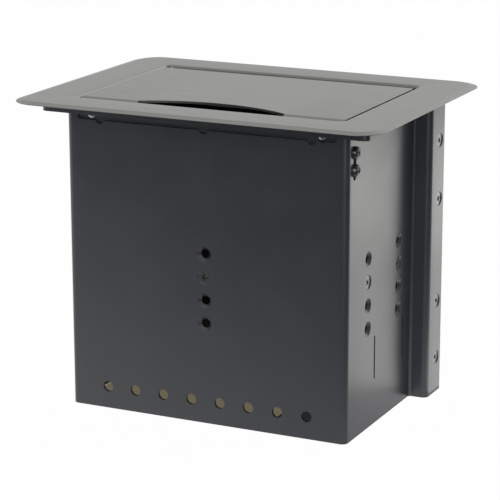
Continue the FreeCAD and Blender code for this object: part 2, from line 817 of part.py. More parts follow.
def mains_inlet():
    """Three-pin inlet for the building's feed, below the first socket."""
    x = socket_places()[0]
    low = socket_low_z - inlet_deep
    body = plate(inlet_length, inlet_width, inlet_wall, low, socket_low_z, x, module_y)
    mouth = plate(inlet_length - 2 * inlet_wall, inlet_width - 2 * inlet_wall, inlet_wall / 2, low,
                  socket_low_z - 2 * inlet_wall, x, module_y)
    pins = [cylinder(V(place, module_y, low + inlet_wall), Z, inlet_pin, inlet_deep - 2 * inlet_wall)
            for place in (x - inlet_pitch, x, x + inlet_pitch)]
    return joined([body.cut(mouth)] + pins)


def insert_blank(x):
    """Insert without its port: plate on the panel, body through the cut-out, two screw holes."""
    face = plate(insert_width, insert_length, insert_corner, panel_z, insert_top_z, x, module_y)
    body = plate(insert_body_width, insert_body_length, insert_corner, panel_z - insert_deep, panel_z, x, module_y)
    holes = [cylinder(V(x, y, panel_z), Z, m3 + 2 * screw_play, insert_plate)
             for y in (module_y - insert_screw_y, module_y + insert_screw_y)]
    return joined([face, body]).cut(holes)


def port(x, y, width, height):
    """Tool for a rectangular port about (x, y)."""
    return box(x - width / 2, x + width / 2, y - height / 2, y + height / 2, port_low_z, insert_top_z)


def tongue(x, y, width):
    """Contact tongue on the floor of a port."""
    half = tongue_thick / 2
    return box(x - width / 2, x + width / 2, y - half, y + half, port_low_z, panel_z)


def network_insert():
    """Network socket with the notch for the plug's latch."""
    x = insert_places()[0]
    latch_y = module_y - (network_height + latch_height) / 2
    return insert_blank(x).cut([port(x, module_y, network_width, network_height),
                                port(x, latch_y, latch_width, latch_height)])


def video_insert():
    """Video socket with two tapered corners and a contact tongue."""
    x = insert_places()[1]
    half = video_width / 2
    low = module_y - video_height / 2
    high = module_y + video_height / 2
    mouth = prism([(x - half + video_taper, low), (x + half - video_taper, low), (x + half, low + video_taper),
                   (x + half, high), (x - half, high), (x - half, low + video_taper)], port_deep)
    mouth.translate(V(0, 0, port_low_z))
    return joined([insert_blank(x).cut(mouth), tongue(x, module_y, video_width - 2 * video_taper)])


def charger_insert():
    """Charger with two ports, each with a contact tongue."""
    x = insert_places()[2]
    rows = (module_y - charger_pitch / 2, module_y + charger_pitch / 2)
    body = insert_blank(x).cut([port(x, y, charger_width, charger_height) for y in rows])
    return joined([body] + [tongue(x, y, charger_width - 2 * tongue_side) for y in rows])


def insert_screws():
    """Small pan-head screws, two to an insert."""
    screws = []
    for x in insert_places():
        for y in (module_y - insert_screw_y, module_y + insert_screw_y):
            screw = headed_bar(m3_head, m3_height, m3_rim, m3_crown, m3, insert_plate + sheet)
            screws.append(aimed(screw, V(x, y, insert_top_z), -Z))
    return screws


def on_earth(shape, out):
    """Place a piece drawn along +Z on the left wall's earth stud, a distance out from the wall."""
    return aimed(shape, V(-side_in + out, front_out + earth_back, earth_height), X)


def earth_stud():
    """Earth stud with its welded foot."""
    foot = earth_foot / 2
    profile = [(0, 0), (foot, 0), (foot, earth_foot_thick), (m5 / 2, earth_foot_thick), (m5 / 2, earth_stud_length),
               (0, earth_stud_length)]
    return on_earth(turned(profile), 0)


def earth_washer():
    """Washer against the stud's foot."""
    inside = m5 / 2 + thread_gap
    outside = earth_washer_width / 2
    profile = [(inside, 0), (outside, 0), (outside, earth_washer_thick), (inside, earth_washer_thick)]
    return on_earth(turned(profile), earth_foot_thick)


def earth_nut():
    """Nut on the earth stud."""
    return on_earth(nut(V(0, 0, 0), Z, earth_nut_flats, earth_nut_height, m5), earth_foot_thick + earth_washer_thick)


def save(name, shapes):
    """Write one node: a single solid, or a group of separate ones."""
    solids = [solid for shape in shapes for solid in shape.Solids]
    shape = solids[0] if len(solids) == 1 else Part.makeCompound(solids)
    shape.exportStep("parts/" + name + ".step")
    volume = sum(solid.Volume for solid in solids)
    print(name, len(solids), "solid(s)", round(volume, 1), "mm3", "valid" if shape.isValid() else "NOT VALID")


def main():
    """Build every node."""
    os.makedirs("parts", exist_ok=True)
    save("front_shell", [front_shell()])
    save("rear_panel", [rear_panel()])
    save("rear_screws", csk_screws(bay_seats()))
    save("rear_nuts", nuts(bay_seats()))
    save("mounting_collar", [mounting_collar()])
    save("top_frame", [top_frame()])
    save("frame_studs", both_sides(frame_studs()))
    save("frame_nuts", both_sides(frame_nuts()))
    save("lid_plate", [lid_plate()])
    save("lid_carrier", [lid_carrier()])
    save("hinge_bushes", both_sides([hinge_bush()]))
    save("hinge_bracket_right", [hinge_bracket()])
    save("hinge_bracket_left", [mirrored(hinge_bracket())])
    save("hinge_pins", both_sides([hinge_pin()]))
    save("hinge_clips", both_sides([hinge_clip()]))
    save("hinge_screws", csk_screws(hinge_seats()))
    save("hinge_nuts", nuts(hinge_seats()))
    save("front_rail", [front_rail()])
    save("rail_screws", rail_screws())
    save("rail_nuts", nuts(rail_seats()))
    save("lid_rests", both_sides([lid_rest()]))
    save("rest_rivets", both_sides([rest_rivet()]))
    save("lid_bumpers", both_sides([lid_bumper()]))
    save("module_panel", [module_panel()])
    save("panel_screws", csk_screws(panel_seats()))
    save("panel_nuts", nuts(panel_seats()))
    save("panel_edge_trim", [panel_edge_trim()])
    save("power_sockets", [power_socket(x) for x in socket_places()])
    save("socket_contacts", socket_contacts())
    save("earth_clips", [clip for x in socket_places() for clip in earth_clips(x)])
    save("mains_inlet", [mains_inlet()])
    save("network_insert", [network_insert()])
    save("video_insert", [video_insert()])
    save("charger_insert", [charger_insert()])
    save("insert_screws", insert_screws())
    save("earth_stud", [earth_stud()])
    save("earth_washer", [earth_washer()])
    save("earth_nut", [earth_nut()])


main()
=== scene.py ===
# %% [markdown]
# # A conference table box
# The box hangs in a table top. A brushed frame and lid are all that shows in use, and the black
# steel box below holds sockets and spare cable. The CAD model gives every piece its place and size.
# This lesson gives the pieces their soft edges, their small fasteners and their finishes.

# %% Load the frame
import json
import math

import bmesh
import bpy
import numpy as np
from mathutils import Matrix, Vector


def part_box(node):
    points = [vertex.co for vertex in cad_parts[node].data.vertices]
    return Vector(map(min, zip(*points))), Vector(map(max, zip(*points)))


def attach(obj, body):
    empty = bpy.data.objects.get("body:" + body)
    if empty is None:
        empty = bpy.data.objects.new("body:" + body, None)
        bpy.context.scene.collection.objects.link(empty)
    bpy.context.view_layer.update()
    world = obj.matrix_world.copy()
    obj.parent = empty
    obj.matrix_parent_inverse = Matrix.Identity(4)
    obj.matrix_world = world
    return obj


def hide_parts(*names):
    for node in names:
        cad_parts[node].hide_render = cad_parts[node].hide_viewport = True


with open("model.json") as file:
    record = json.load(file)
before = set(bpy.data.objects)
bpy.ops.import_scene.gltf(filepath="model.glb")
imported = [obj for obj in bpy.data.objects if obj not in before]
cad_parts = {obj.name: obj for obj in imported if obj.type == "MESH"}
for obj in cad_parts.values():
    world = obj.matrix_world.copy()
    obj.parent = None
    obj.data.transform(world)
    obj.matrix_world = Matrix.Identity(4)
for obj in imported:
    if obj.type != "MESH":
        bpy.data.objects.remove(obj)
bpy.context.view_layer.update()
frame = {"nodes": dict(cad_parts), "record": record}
MM = 0.001
SLOT_OF = {part["node"]: part["material_slot"] for part in frame["record"]["subparts"]}
BODY_OF = {node: body for body, nodes in frame["record"]["behaviour"]["bodies"].items() for node in nodes}

# %% [markdown]
# ## The camera
# The photograph was taken with a long lens from the front right, a little above the box. The lens
# and the place were worked out from the box's own edges and holes, so the picture can be laid over it.

# %% Camera
CAMERA_PLACE = np.array([592.67, -1234.83, 462.19]) * MM
CAMERA_YAW = -0.4477              # turn to the left from +Y, in radians
CAMERA_PITCH = -0.2603            # tilt down
CAMERA_ROLL = -0.0020
FOCAL_PIXELS = 2185.33            # focal length in pixels of the picture
PICTURE_PIXELS = 500


def camera_axes(yaw, pitch, roll):
    """Right, up and forward: forward from yaw and pitch, right level, then both turned by the roll."""
    level = math.cos(pitch)
    forward = np.array([math.sin(yaw) * level, math.cos(yaw) * level, math.sin(pitch)])
    right = np.array([math.cos(yaw), -math.sin(yaw), 0.0])
    up = np.cross(right, forward)
    turned_right = math.cos(roll) * right + math.sin(roll) * up
    turned_up = math.cos(roll) * up - math.sin(roll) * right
    return turned_right, turned_up, forward


lens = bpy.data.cameras.new("camera")
lens.lens = lens.sensor_width * FOCAL_PIXELS / PICTURE_PIXELS
lens.clip_start = 0.05
lens.clip_end = 60.0
camera = bpy.data.objects.new("camera", lens)
right, up, forward = camera_axes(CAMERA_YAW, CAMERA_PITCH, CAMERA_ROLL)
pose = np.eye(4)
pose[:3, :3] = np.column_stack([right, up, -forward])
pose[:3, 3] = CAMERA_PLACE
camera.matrix_world = Matrix(pose.tolist())
bpy.context.scene.collection.objects.link(camera)
bpy.context.scene.camera = camera
bpy.context.scene.view_settings.view_transform = "Standard"
print("lens", round(lens.lens, 2), "mm")

# %% [markdown]
# ## Nodes and colours
# Every material below is a small graph. One function adds a node, sets it and links it, and one
# turns the colours, written as sRGB hex, into the linear values that shaders work with.

# %% Node and colour helpers
NOISE_LOW = 0.3                   # a noise value stays mostly between these two
NOISE_HIGH = 0.7


def linear(colour):
    """Linear RGBA of an sRGB hex: c / 12.92 for a dark channel c, else ((c + 0.055) / 1.055) to the
    power 2.4."""
    channels = np.array([int(colour[k:k + 2], 16) for k in (1, 3, 5)]) / 255
    values = np.where(channels <= 0.04045, channels / 12.92, ((channels + 0.055) / 1.055) ** 2.4)
    return tuple(values.tolist()) + (1.0,)


def node(tree, kind, sockets=None, **settings):
    """Add a shader node. A socket given an output is linked to it, and one given a value is set to it."""
    made = tree.nodes.new("ShaderNode" + kind)
    for name, value in settings.items():
        setattr(made, name, value)
    for name, value in (sockets or {}).items():
        if isinstance(value, bpy.types.NodeSocket):
            tree.links.new(value, made.inputs[name])
        else:
            made.inputs[name].default_value = value
    return made


def start_material(name):
    """An empty Principled material: the material, its tree, its shader and its Object coordinates."""
    material = bpy.data.materials.new(name)
    material.use_nodes = True
    tree = material.node_tree
    tree.nodes.clear()
    shader = node(tree, "BsdfPrincipled")
    node(tree, "OutputMaterial", {"Surface": shader.outputs["BSDF"]})
    place = node(tree, "TexCoord").outputs["Object"]
    return material, tree, shader, place


def noise(tree, place, size, detail=3.0, stretch=(1.0, 1.0, 1.0)):
    """Noise whose lumps are about size millimetres across, times the stretch along each axis."""
    scale = tuple(1 / (size * MM * factor) for factor in stretch)
    mapping = node(tree, "Mapping", {"Vector": place, "Scale": scale})
    lumps = node(tree, "TexNoise", {"Vector": mapping.outputs["Vector"], "Scale": 1.0, "Detail": detail})
    return lumps.outputs["Fac"]


def between(tree, value, low, high):
    """A noise value spread from low to high."""
    limits = {"From Min": NOISE_LOW, "From Max": NOISE_HIGH, "To Min": low, "To Max": high}
    return node(tree, "MapRange", {"Value": value, **limits}).outputs["Result"]


def two_tones(tree, value, dark, light):
    """Colour between two hex tones. Sockets 0, 6 and 7 of a colour Mix are the factor and its two ends."""
    factor = between(tree, value, 0.0, 1.0)
    return node(tree, "Mix", {0: factor, 6: linear(dark), 7: linear(light)}, data_type="RGBA").outputs[2]


def bumped(tree, shader, height, depth):
    """Bump on a shader, depth in millimetres."""
    bump = node(tree, "Bump", {"Height": height, "Distance": depth * MM, "Strength": 1.0})
    tree.links.new(bump.outputs["Normal"], shader.inputs["Normal"])


# %% [markdown]
# ## Brushed anodised aluminium
# The frame and the lid are aluminium, brushed along their width and anodised to a dull grey. The
# brush leaves fine lines that a noise gives when it is stretched along X. Real lines are some tenths
# of a millimetre apart, too fine to show at this size, so a coarser set is laid over the fine one.

# %% Brushed anodised aluminium
BRUSH_FINE = 0.35                 # width of a line, in millimetres
BRUSH_COARSE = 2.4
BRUSH_LENGTH = 60.0
BRUSH_DEPTH = 0.0012


def brushed_anodised_aluminium():
    """Grey metal with fine lines along X in its tone, its roughness and its surface."""
    material, tree, shader, place = start_material("brushed_anodised_aluminium")
    fine = noise(tree, place, BRUSH_FINE, 2.0, (BRUSH_LENGTH / BRUSH_FINE, 1.0, 1.0))
    coarse = noise(tree, place, BRUSH_COARSE, 3.0, (BRUSH_LENGTH / BRUSH_COARSE, 1.0, 1.0))
    tone = two_tones(tree, coarse, "#767673", "#7b7b78")
    tree.links.new(tone, shader.inputs["Base Color"])
    tree.links.new(between(tree, fine, 0.36, 0.42), shader.inputs["Roughness"])
    shader.inputs["Metallic"].default_value = 1.0
    bumped(tree, shader, fine, BRUSH_DEPTH)
    return material


# %% [markdown]
# ## Satin powder coat
# The folded steel is powder coated. The powder melts into a thin black skin that is nearly smooth,
# with a slight orange peel. It looks black from the front and mirrors the room at a low angle, so the
# roughness is what matters most.

# %% Satin powder coat
PEEL = 1.1                        # lumps of the orange peel, in millimetres
PEEL_DEPTH = 0.002
SMEAR = 35.0                      # patches of tone and gloss


def satin_powder_coat():
    """Blue-black paint, satin, with orange peel about a millimetre across."""
    material, tree, shader, place = start_material("satin_powder_coat")
    smear = noise(tree, place, SMEAR)
    tree.links.new(two_tones(tree, smear, "#303237", "#34363b"), shader.inputs["Base Color"])
    tree.links.new(between(tree, smear, 0.28, 0.32), shader.inputs["Roughness"])
    shader.inputs["IOR"].default_value = 1.6
    bumped(tree, shader, noise(tree, place, PEEL, 1.0), PEEL_DEPTH)
    return material


# %% [markdown]
# ## The other finishes
# Black passivated screws, bright zinc, stainless steel, rubber, moulded plastic, nylon and brass
# each have a simple pattern: patches of tone, a fine grain, drawn lines or the grain of a mould.

# %% Screws, zinc, stainless steel and brass
PLATING_PATCH = 3.0
PLATING_GRAIN = 0.25
PLATING_DEPTH = 0.002
DRAWN_STRETCH = 12.0              # length of a drawn line over its width


def black_passivated_steel():
    """Smooth black film, greyer and duller in patches."""
    material, tree, shader, place = start_material("black_passivated_steel")
    patch = noise(tree, place, PLATING_PATCH)
    tree.links.new(two_tones(tree, patch, "#17181a", "#2a2b2d"), shader.inputs["Base Color"])
    tree.links.new(between(tree, patch, 0.18, 0.28), shader.inputs["Roughness"])
    shader.inputs["IOR"].default_value = 1.85
    return material


def bright_zinc():
    """Bluish plating with faint warm patches."""
    material, tree, shader, place = start_material("bright_zinc")
    patch = noise(tree, place, PLATING_PATCH)
    tree.links.new(two_tones(tree, patch, "#b9bec2", "#c9c7bd"), shader.inputs["Base Color"])
    tree.links.new(between(tree, patch, 0.26, 0.38), shader.inputs["Roughness"])
    shader.inputs["Metallic"].default_value = 1.0
    bumped(tree, shader, noise(tree, place, PLATING_GRAIN), PLATING_DEPTH)
    return material


def plain_stainless_steel():
    """Drawn steel with short lines."""
    material, tree, shader, place = start_material("plain_stainless_steel")
    lines = noise(tree, place, PLATING_GRAIN, 2.0, (DRAWN_STRETCH, 1.0, 1.0))
    tree.links.new(two_tones(tree, lines, "#b3b0aa", "#c4c1bb"), shader.inputs["Base Color"])
    tree.links.new(between(tree, lines, 0.24, 0.36), shader.inputs["Roughness"])
    shader.inputs["Metallic"].default_value = 1.0
    return material


def turned_brass():
    """Yellow metal, dulled in patches."""
    material, tree, shader, place = start_material("turned_brass")
    patch = noise(tree, place, PLATING_PATCH)
    tree.links.new(two_tones(tree, patch, "#b08a48", "#d3b06a"), shader.inputs["Base Color"])
    tree.links.new(between(tree, patch, 0.22, 0.38), shader.inputs["Roughness"])
    shader.inputs["Metallic"].default_value = 1.0
    return material


# %% Rubber, plastic and nylon
MOULD_GRAIN = 0.45
RUBBER_GRAIN = 0.8
GRAIN_DEPTH = 0.012
RUBBER_BLOOM = 6.0
PLASTIC_PATCH = 12.0
NYLON_PATCH = 2.0


def moulded_rubber():
    """Matt black rubber with a fine bloom."""
    material, tree, shader, place = start_material("moulded_rubber")
    bloom = noise(tree, place, RUBBER_BLOOM)
    tree.links.new(two_tones(tree, bloom, "#161616", "#222221"), shader.inputs["Base Color"])
    tree.links.new(between(tree, bloom, 0.7, 0.85), shader.inputs["Roughness"])
    bumped(tree, shader, noise(tree, place, RUBBER_GRAIN), GRAIN_DEPTH)
    return material


def moulded_plastic():
    """Black polycarbonate with the grain of an eroded mould."""
    material, tree, shader, place = start_material("moulded_plastic")
    patch = noise(tree, place, PLASTIC_PATCH)
    tree.links.new(two_tones(tree, patch, "#1b1c1e", "#222325"), shader.inputs["Base Color"])
    tree.links.new(between(tree, patch, 0.42, 0.52), shader.inputs["Roughness"])
    bumped(tree, shader, noise(tree, place, MOULD_GRAIN, 2.0), GRAIN_DEPTH)
    return material


def natural_nylon():
    """Creamy nylon that lets a little light in."""
    material, tree, shader, place = start_material("natural_nylon")
    patch = noise(tree, place, NYLON_PATCH)
    tree.links.new(two_tones(tree, patch, "#d6d0bc", "#e2ddcb"), shader.inputs["Base Color"])
    tree.links.new(between(tree, patch, 0.36, 0.46), shader.inputs["Roughness"])
    shader.inputs["Subsurface Weight"].default_value = 0.2
    shader.inputs["Subsurface Scale"].default_value = 1.0 * MM
    return material


FINISHES = {
    "brushed_aluminium": brushed_anodised_aluminium(),
    "black_steel": satin_powder_coat(),
    "black_screws": black_passivated_steel(),
    "zinc_steel": bright_zinc(),
    "stainless_steel": plain_stainless_steel(),
    "black_rubber": moulded_rubber(),
    "black_plastic": moulded_plastic(),
    "nylon": natural_nylon(),
    "brass": turned_brass(),
}
print("finishes:", ", ".join(FINISHES))

# %% [markdown]
# ## Meshes from the frame
# A CAD node comes in as loose triangles. A copy of it is welded first: corners at the same place
# become one. Then its flat faces are joined, its sharp edges are marked, and a narrow bevel rounds
# them, because no real edge is perfectly sharp and the light along edges is what shows a sheet's wall.

# %% Weld, round and place
WELD = 1e-4 * MM                  # corners that agree to this are one
SHARP_ANGLE = 35.0                # edges that turn more than this, in degrees, are sharp
FLAT_ANGLE = 0.2                  # faces that differ by less than this are joined
BEVEL_SEGMENTS = 3


def welded(verts, faces):
    """Merge corners that agree to a tenth of a micrometre, and drop triangles that lost a corner."""
    keys, index = np.unique(np.round(verts / WELD).astype(np.int64), axis=0, return_inverse=True)
    faces = index.reshape(-1)[faces]
    sides = np.sort(faces, axis=1)
    whole = (np.diff(sides, axis=1) > 0).all(axis=1)
    return keys * WELD, faces[whole]


def node_mesh(name):
    """Welded corners and triangles of a CAD node."""
    mesh = frame["nodes"][name].data
    verts = np.empty(len(mesh.vertices) * 3)
    mesh.vertices.foreach_get("co", verts)
    corners = np.empty(len(mesh.loops), dtype=np.int32)
    mesh.loops.foreach_get("vertex_index", corners)
    return welded(verts.reshape(-1, 3), corners.reshape(-1, 3))


def dress(piece, *nodes):
    """Let a piece stand for CAD nodes: it rides on their body and takes their finish."""
    bpy.context.scene.collection.objects.link(piece)
    piece.data.materials.append(FINISHES[SLOT_OF[nodes[0]]])
    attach(piece, BODY_OF[nodes[0]])
    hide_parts(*nodes)


def mesh_object(name, verts, faces):
    """Object from corners and faces, shaded smooth across all edges but the sharp ones."""
    mesh = bpy.data.meshes.new(name)
    mesh.from_pydata(verts.tolist(), [], [list(face) for face in faces])
    mesh.shade_smooth()
    mesh.set_sharp_from_angle(angle=math.radians(SHARP_ANGLE))
    return bpy.data.objects.new(name, mesh)


def soften(piece, width, limit):
    """Round a piece's outer edges by a width in millimetres. WEIGHT or ANGLE picks the edges."""
    bevel = piece.modifiers.new("soft edges", "BEVEL")
    bevel.width = width * MM
    bevel.segments = BEVEL_SEGMENTS
    bevel.limit_method = limit
    bevel.angle_limit = math.radians(SHARP_ANGLE)
    bevel.harden_normals = True


def rounded_copy(name, node_name, width, crease=None):
    """Copy of a CAD node with its flat faces joined and its sharp outer edges rounded. A crease is a test
    for edges that count as sharp whatever their angle."""
    verts, faces = node_mesh(node_name)
    piece = mesh_object(name, verts, faces.tolist())
    shape = bmesh.new()
    shape.from_mesh(piece.data)
    flat = math.radians(FLAT_ANGLE)
    bmesh.ops.dissolve_limit(shape, angle_limit=flat, verts=shape.verts, edges=shape.edges)
    weight = shape.edges.layers.float.new("bevel_weight_edge")
    for edge in shape.edges:
        sharp = edge.calc_face_angle() > math.radians(SHARP_ANGLE) or bool(crease and crease(edge))
        edge.smooth = not sharp
        edge[weight] = float(sharp and edge.is_convex)
    for face in shape.faces:
        face.smooth = True
    shape.to_mesh(piece.data)
    shape.free()
    soften(piece, width, "WEIGHT")
    dress(piece, node_name)


# %% [markdown]
# ## Sheet metal and modules
# These pieces have the right shape already, so each is copied with soft edges. Folded sheet is
# rounded by nearly half a millimetre where it was sheared, moulded pieces by less, and the frame and
# the small parts least.

# %% Pieces with soft edges
SHEARED_EDGE = 0.45
FINE_EDGE = 0.12
MOULDED_EDGE = 0.3
LEVEL = 0.01 * MM                 # how close to the frame's top a corner has to be
EDGES = {
    SHEARED_EDGE: ["front_shell", "rear_panel", "mounting_collar", "front_rail", "module_panel", "lid_rests",
                   "lid_carrier", "hinge_bracket_left", "hinge_bracket_right"],
    FINE_EDGE: ["hinge_pins", "hinge_clips", "hinge_bushes", "earth_clips",
                "socket_contacts", "earth_washer"],
    MOULDED_EDGE: ["power_sockets", "mains_inlet", "network_insert", "video_insert", "charger_insert",
                   "panel_edge_trim", "lid_bumpers"],
}
for width, names in EDGES.items():
    for name in names:
        rounded_copy(name + "_soft", name, width)

frame_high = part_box("top_frame")[1]
lid_low, lid_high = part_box("lid_plate")


def on_outer_crease(edge):
    """Whether an edge lies where the frame's flat top meets its bevel: at full height, beyond mid-border."""
    middle = (edge.verts[0].co + edge.verts[1].co) / 2
    level = all(frame_high.z - vert.co.z < LEVEL for vert in edge.verts)
    beyond_x = abs(middle.x) > (frame_high.x + lid_high.x) / 2
    beyond_y = abs(middle.y) > (frame_high.y - lid_low.y) / 2
    return level and (beyond_x or beyond_y)


rounded_copy("top_frame_soft", "top_frame", FINE_EDGE, crease=on_outer_crease)
print("soft edges on", sum(len(names) for names in EDGES.values()) + 1, "pieces")

# %% [markdown]
# ## The lid
# The lid is a brushed sheet. Its front edge rolls down on both sides of the cable arc and closes most
# of the gap in front, while the arc is a plain cut. The sheet is one grid of columns from left to right.

# %% Lid
ARC_HALF = 50.0                   # half the arc's chord
ARC_DEPTH = 12.5
ARC_COLUMNS = 51                  # columns from the middle to the arc's end
SIDE_COLUMNS = 9                  # columns from there to the corner, and round it
LID_CORNER = 3.0
LID_EDGE = 0.4                    # rounding of the cut edges
LIP_REACH = 4.2                   # half axes of the rolled edge's ellipse, forwards and down
LIP_DROP = 4.6
LIP_ROWS = 13
LIP_TURN = math.radians(80.0)     # how far it rolls
LIP_TAPER = 2.0                   # how much the rolled edge narrows at the lid's corners


def lid_columns(half):
    """Places of the columns in X: close together along the arc and at the corners."""
    arc = np.linspace(0.0, ARC_HALF, ARC_COLUMNS)
    straight = np.linspace(ARC_HALF, half - LID_CORNER, SIDE_COLUMNS)[1:]
    corner = half - LID_CORNER + LID_CORNER * np.sin(np.linspace(0.0, math.pi / 2, SIDE_COLUMNS)[1:])
    right = np.concatenate([arc, straight, corner])
    return np.concatenate([-right[:0:-1], right])


def bent_lid():
    """Flat sheet with rounded rear corners and an arc cut from its front edge. Beside the arc it goes on
    down a part of a quarter ellipse."""
    half, front, rear, top = lid_high.x / MM, lid_low.y / MM, lid_high.y / MM, lid_high.z / MM
    x = lid_columns(half)
    radius = (ARC_HALF ** 2 + ARC_DEPTH ** 2) / (2 * ARC_DEPTH)
    arc = ARC_DEPTH - radius + np.sqrt(radius ** 2 - np.minimum(np.abs(x), ARC_HALF) ** 2)
    into_corner = np.maximum(np.abs(x) - (half - LID_CORNER), 0.0)
    rounding = LID_CORNER - np.sqrt(LID_CORNER ** 2 - into_corner ** 2)
    level = np.full_like(x, top)
    rows = [np.stack([x, rear - rounding, level], axis=1), np.stack([x, front + arc, level], axis=1)]
    for turn in np.linspace(0.0, LIP_TURN, LIP_ROWS)[1:]:
        fall = 1 - math.cos(turn)
        y = np.full_like(x, front - LIP_REACH * math.sin(turn))
        rows.append(np.stack([x * (1 - LIP_TAPER / half * fall), y, level - LIP_DROP * fall], axis=1))
    count = len(x)
    beside_arc = np.abs((x[:-1] + x[1:]) / 2) > ARC_HALF
    faces = []
    for row in range(len(rows) - 1):
        for strip in range(count - 1):
            if row == 0 or beside_arc[strip]:
                first = row * count + strip
                faces.append((first, first + count, first + count + 1, first + 1))
    used, faces = np.unique(faces, return_inverse=True)
    return np.concatenate(rows)[used] * MM, faces.reshape(-1, 4)


lid = mesh_object("lid_plate_soft", *bent_lid())
sheet = lid.modifiers.new("sheet", "SOLIDIFY")
sheet.thickness = lid_high.z - lid_low.z
sheet.use_even_offset = True
soften(lid, LID_EDGE, "ANGLE")
dress(lid, "lid_plate")
print("lid with a rolled front edge of", LIP_REACH, "by", LIP_DROP, "mm")

# %% [markdown]
# ## Screws, nuts, studs and rivets
# The CAD model holds each fastener as a plain turned solid. Here each gets what a hand would feel: a
# cross recess, a thread, chamfered corners on the nuts and a mandrel hole in the rivets. The places
# are read from the frame, one solid at a time, and the shapes are grids of rings about an axis.

# %% Places of the fasteners
GOLDEN_TURN = 2.39996             # radians between one screw's recess and the next
SEAM = 0.001 * MM                 # corners of a fastener closer than this are one


def solids(name):
    """Low and high corners of each separate solid of a node. The lowest label spreads over the triangles."""
    verts, faces = node_mesh(name)
    label = np.arange(len(verts))
    while True:
        spread = label.copy()
        np.minimum.at(spread, faces, label[faces].min(axis=1, keepdims=True).repeat(3, axis=1))
        if (spread == label).all():
            break
        label = spread
    return [(verts[label == one].min(axis=0), verts[label == one].max(axis=0)) for one in np.unique(label)]


def odd_axis(low, high):
    """Axis of a turned solid: the side of its box that differs most from the middle one."""
    size = high - low
    return int(np.argmax(np.abs(size - np.median(size))))


def head_seat(low, high, axis=None):
    """Middle of a screw's head end, and the way it faces: out from the box, or up for an upright screw."""
    axis = odd_axis(low, high) if axis is None else axis
    middle = (low + high) / 2
    facing = np.zeros(3)
    facing[axis] = 1.0 if axis == 2 else np.sign(middle[axis])
    middle[axis] = high[axis] if facing[axis] > 0 else low[axis]
    return middle, facing


def stood(verts, origin, axis, turn):
    """Corners drawn along +Z in millimetres, turned about Z, then stood along an axis at an origin."""
    level = np.array([0.0, 0.0, 1.0]) if abs(axis[2]) < 0.5 else np.array([1.0, 0.0, 0.0])
    over = np.cross(axis, level)
    x = math.cos(turn) * level + math.sin(turn) * over
    y = math.cos(turn) * over - math.sin(turn) * level
    return origin + verts * MM @ np.array([x, y, axis])


def ring_faces(first, count, around):
    """Quads between count rings of around corners each, and the last ring closed by one face."""
    row = first + np.arange(count - 1)[:, None] * around + np.arange(around)
    after = first + np.arange(count - 1)[:, None] * around + np.roll(np.arange(around), -1)
    quads = np.stack([row, row + around, after + around, after], axis=-1).reshape(-1, 4)
    return quads.tolist() + [list(range(first + count * around - 1, first + (count - 1) * around - 1, -1))]


def rings(radius, z, theta):
    """Corners of rings: radius and z, one row a ring, carried round the angles theta."""
    radius = np.broadcast_to(radius, (len(radius), len(theta)))
    z = np.broadcast_to(z, radius.shape)
    return np.stack([radius * np.cos(theta), radius * np.sin(theta), z], axis=-1).reshape(-1, 3)


def column(*values):
    """Values as a column, one to a ring."""
    return np.array(values, dtype=float)[:, None]


def group(name, node_name, shapes):
    """One piece from the shapes of all the solids of a node: corners are added up and faces shifted."""
    verts = np.concatenate([shape[0] for shape in shapes])
    starts = np.cumsum([0] + [len(shape[0]) for shape in shapes[:-1]])
    faces = []
    for shape, start in zip(shapes, starts.tolist()):
        faces += [[corner + start for corner in face] for face in shape[1]]
    piece = mesh_object(name, verts, faces)
    shape = bmesh.new()
    shape.from_mesh(piece.data)
    bmesh.ops.remove_doubles(shape, verts=shape.verts, dist=SEAM)
    shape.to_mesh(piece.data)
    shape.free()
    piece.data.set_sharp_from_angle(angle=math.radians(SHARP_ANGLE))
    dress(piece, node_name)
    print(name, len(shapes), "solids", len(piece.data.polygons), "faces")


# %% Threads and cross recesses
RINGS_PER_TURN = 6
TOOTH = 0.54                      # depth of a thread's tooth, as a share of its pitch
TIP = 0.2                         # chamfered end of a screw
TIP_SHARE = 0.7                   # radius of that end, as a share of the shank's
RECESS_WALL = 0.12
RECESS_RISE = 1.6                 # a recess's floor rises along the outer 1 / 1.6 of an arm
ARM_STEPS = np.array([0.4, 0.6, 0.85, 1.0])       # grid lines along an arm, as shares of its reach
RIM_STEPS = 4                     # grid lines from the end of an arm to the rim


def thread(radius, top, bottom, pitch, theta):
    """Radius and z of a threaded shank's rings: a triangle wave of z / pitch less the turn, which fades
    out at both ends."""
    z = np.linspace(top, bottom, int((top - bottom) / pitch * RINGS_PER_TURN))[:, None]
    wave = np.abs((z / pitch - theta / (2 * np.pi)) % 1.0 * 2 - 1)
    ends = np.clip(np.minimum(top - z, z - bottom) / pitch, 0.0, 1.0)
    return radius - TOOTH * pitch * ends * wave, z


def recess_depth(x, y, reach, width, depth):
    """Depth of a cross recess: two arms with steep walls, whose floor rises towards their ends."""
    def arm(along, over):
        wall = np.clip((width / 2 + RECESS_WALL - np.abs(over)) / RECESS_WALL, 0.0, 1.0)
        return wall * np.clip(RECESS_RISE * (1 - np.abs(along) / reach), 0.0, 1.0)
    return depth * np.maximum(arm(x, y), arm(y, x))


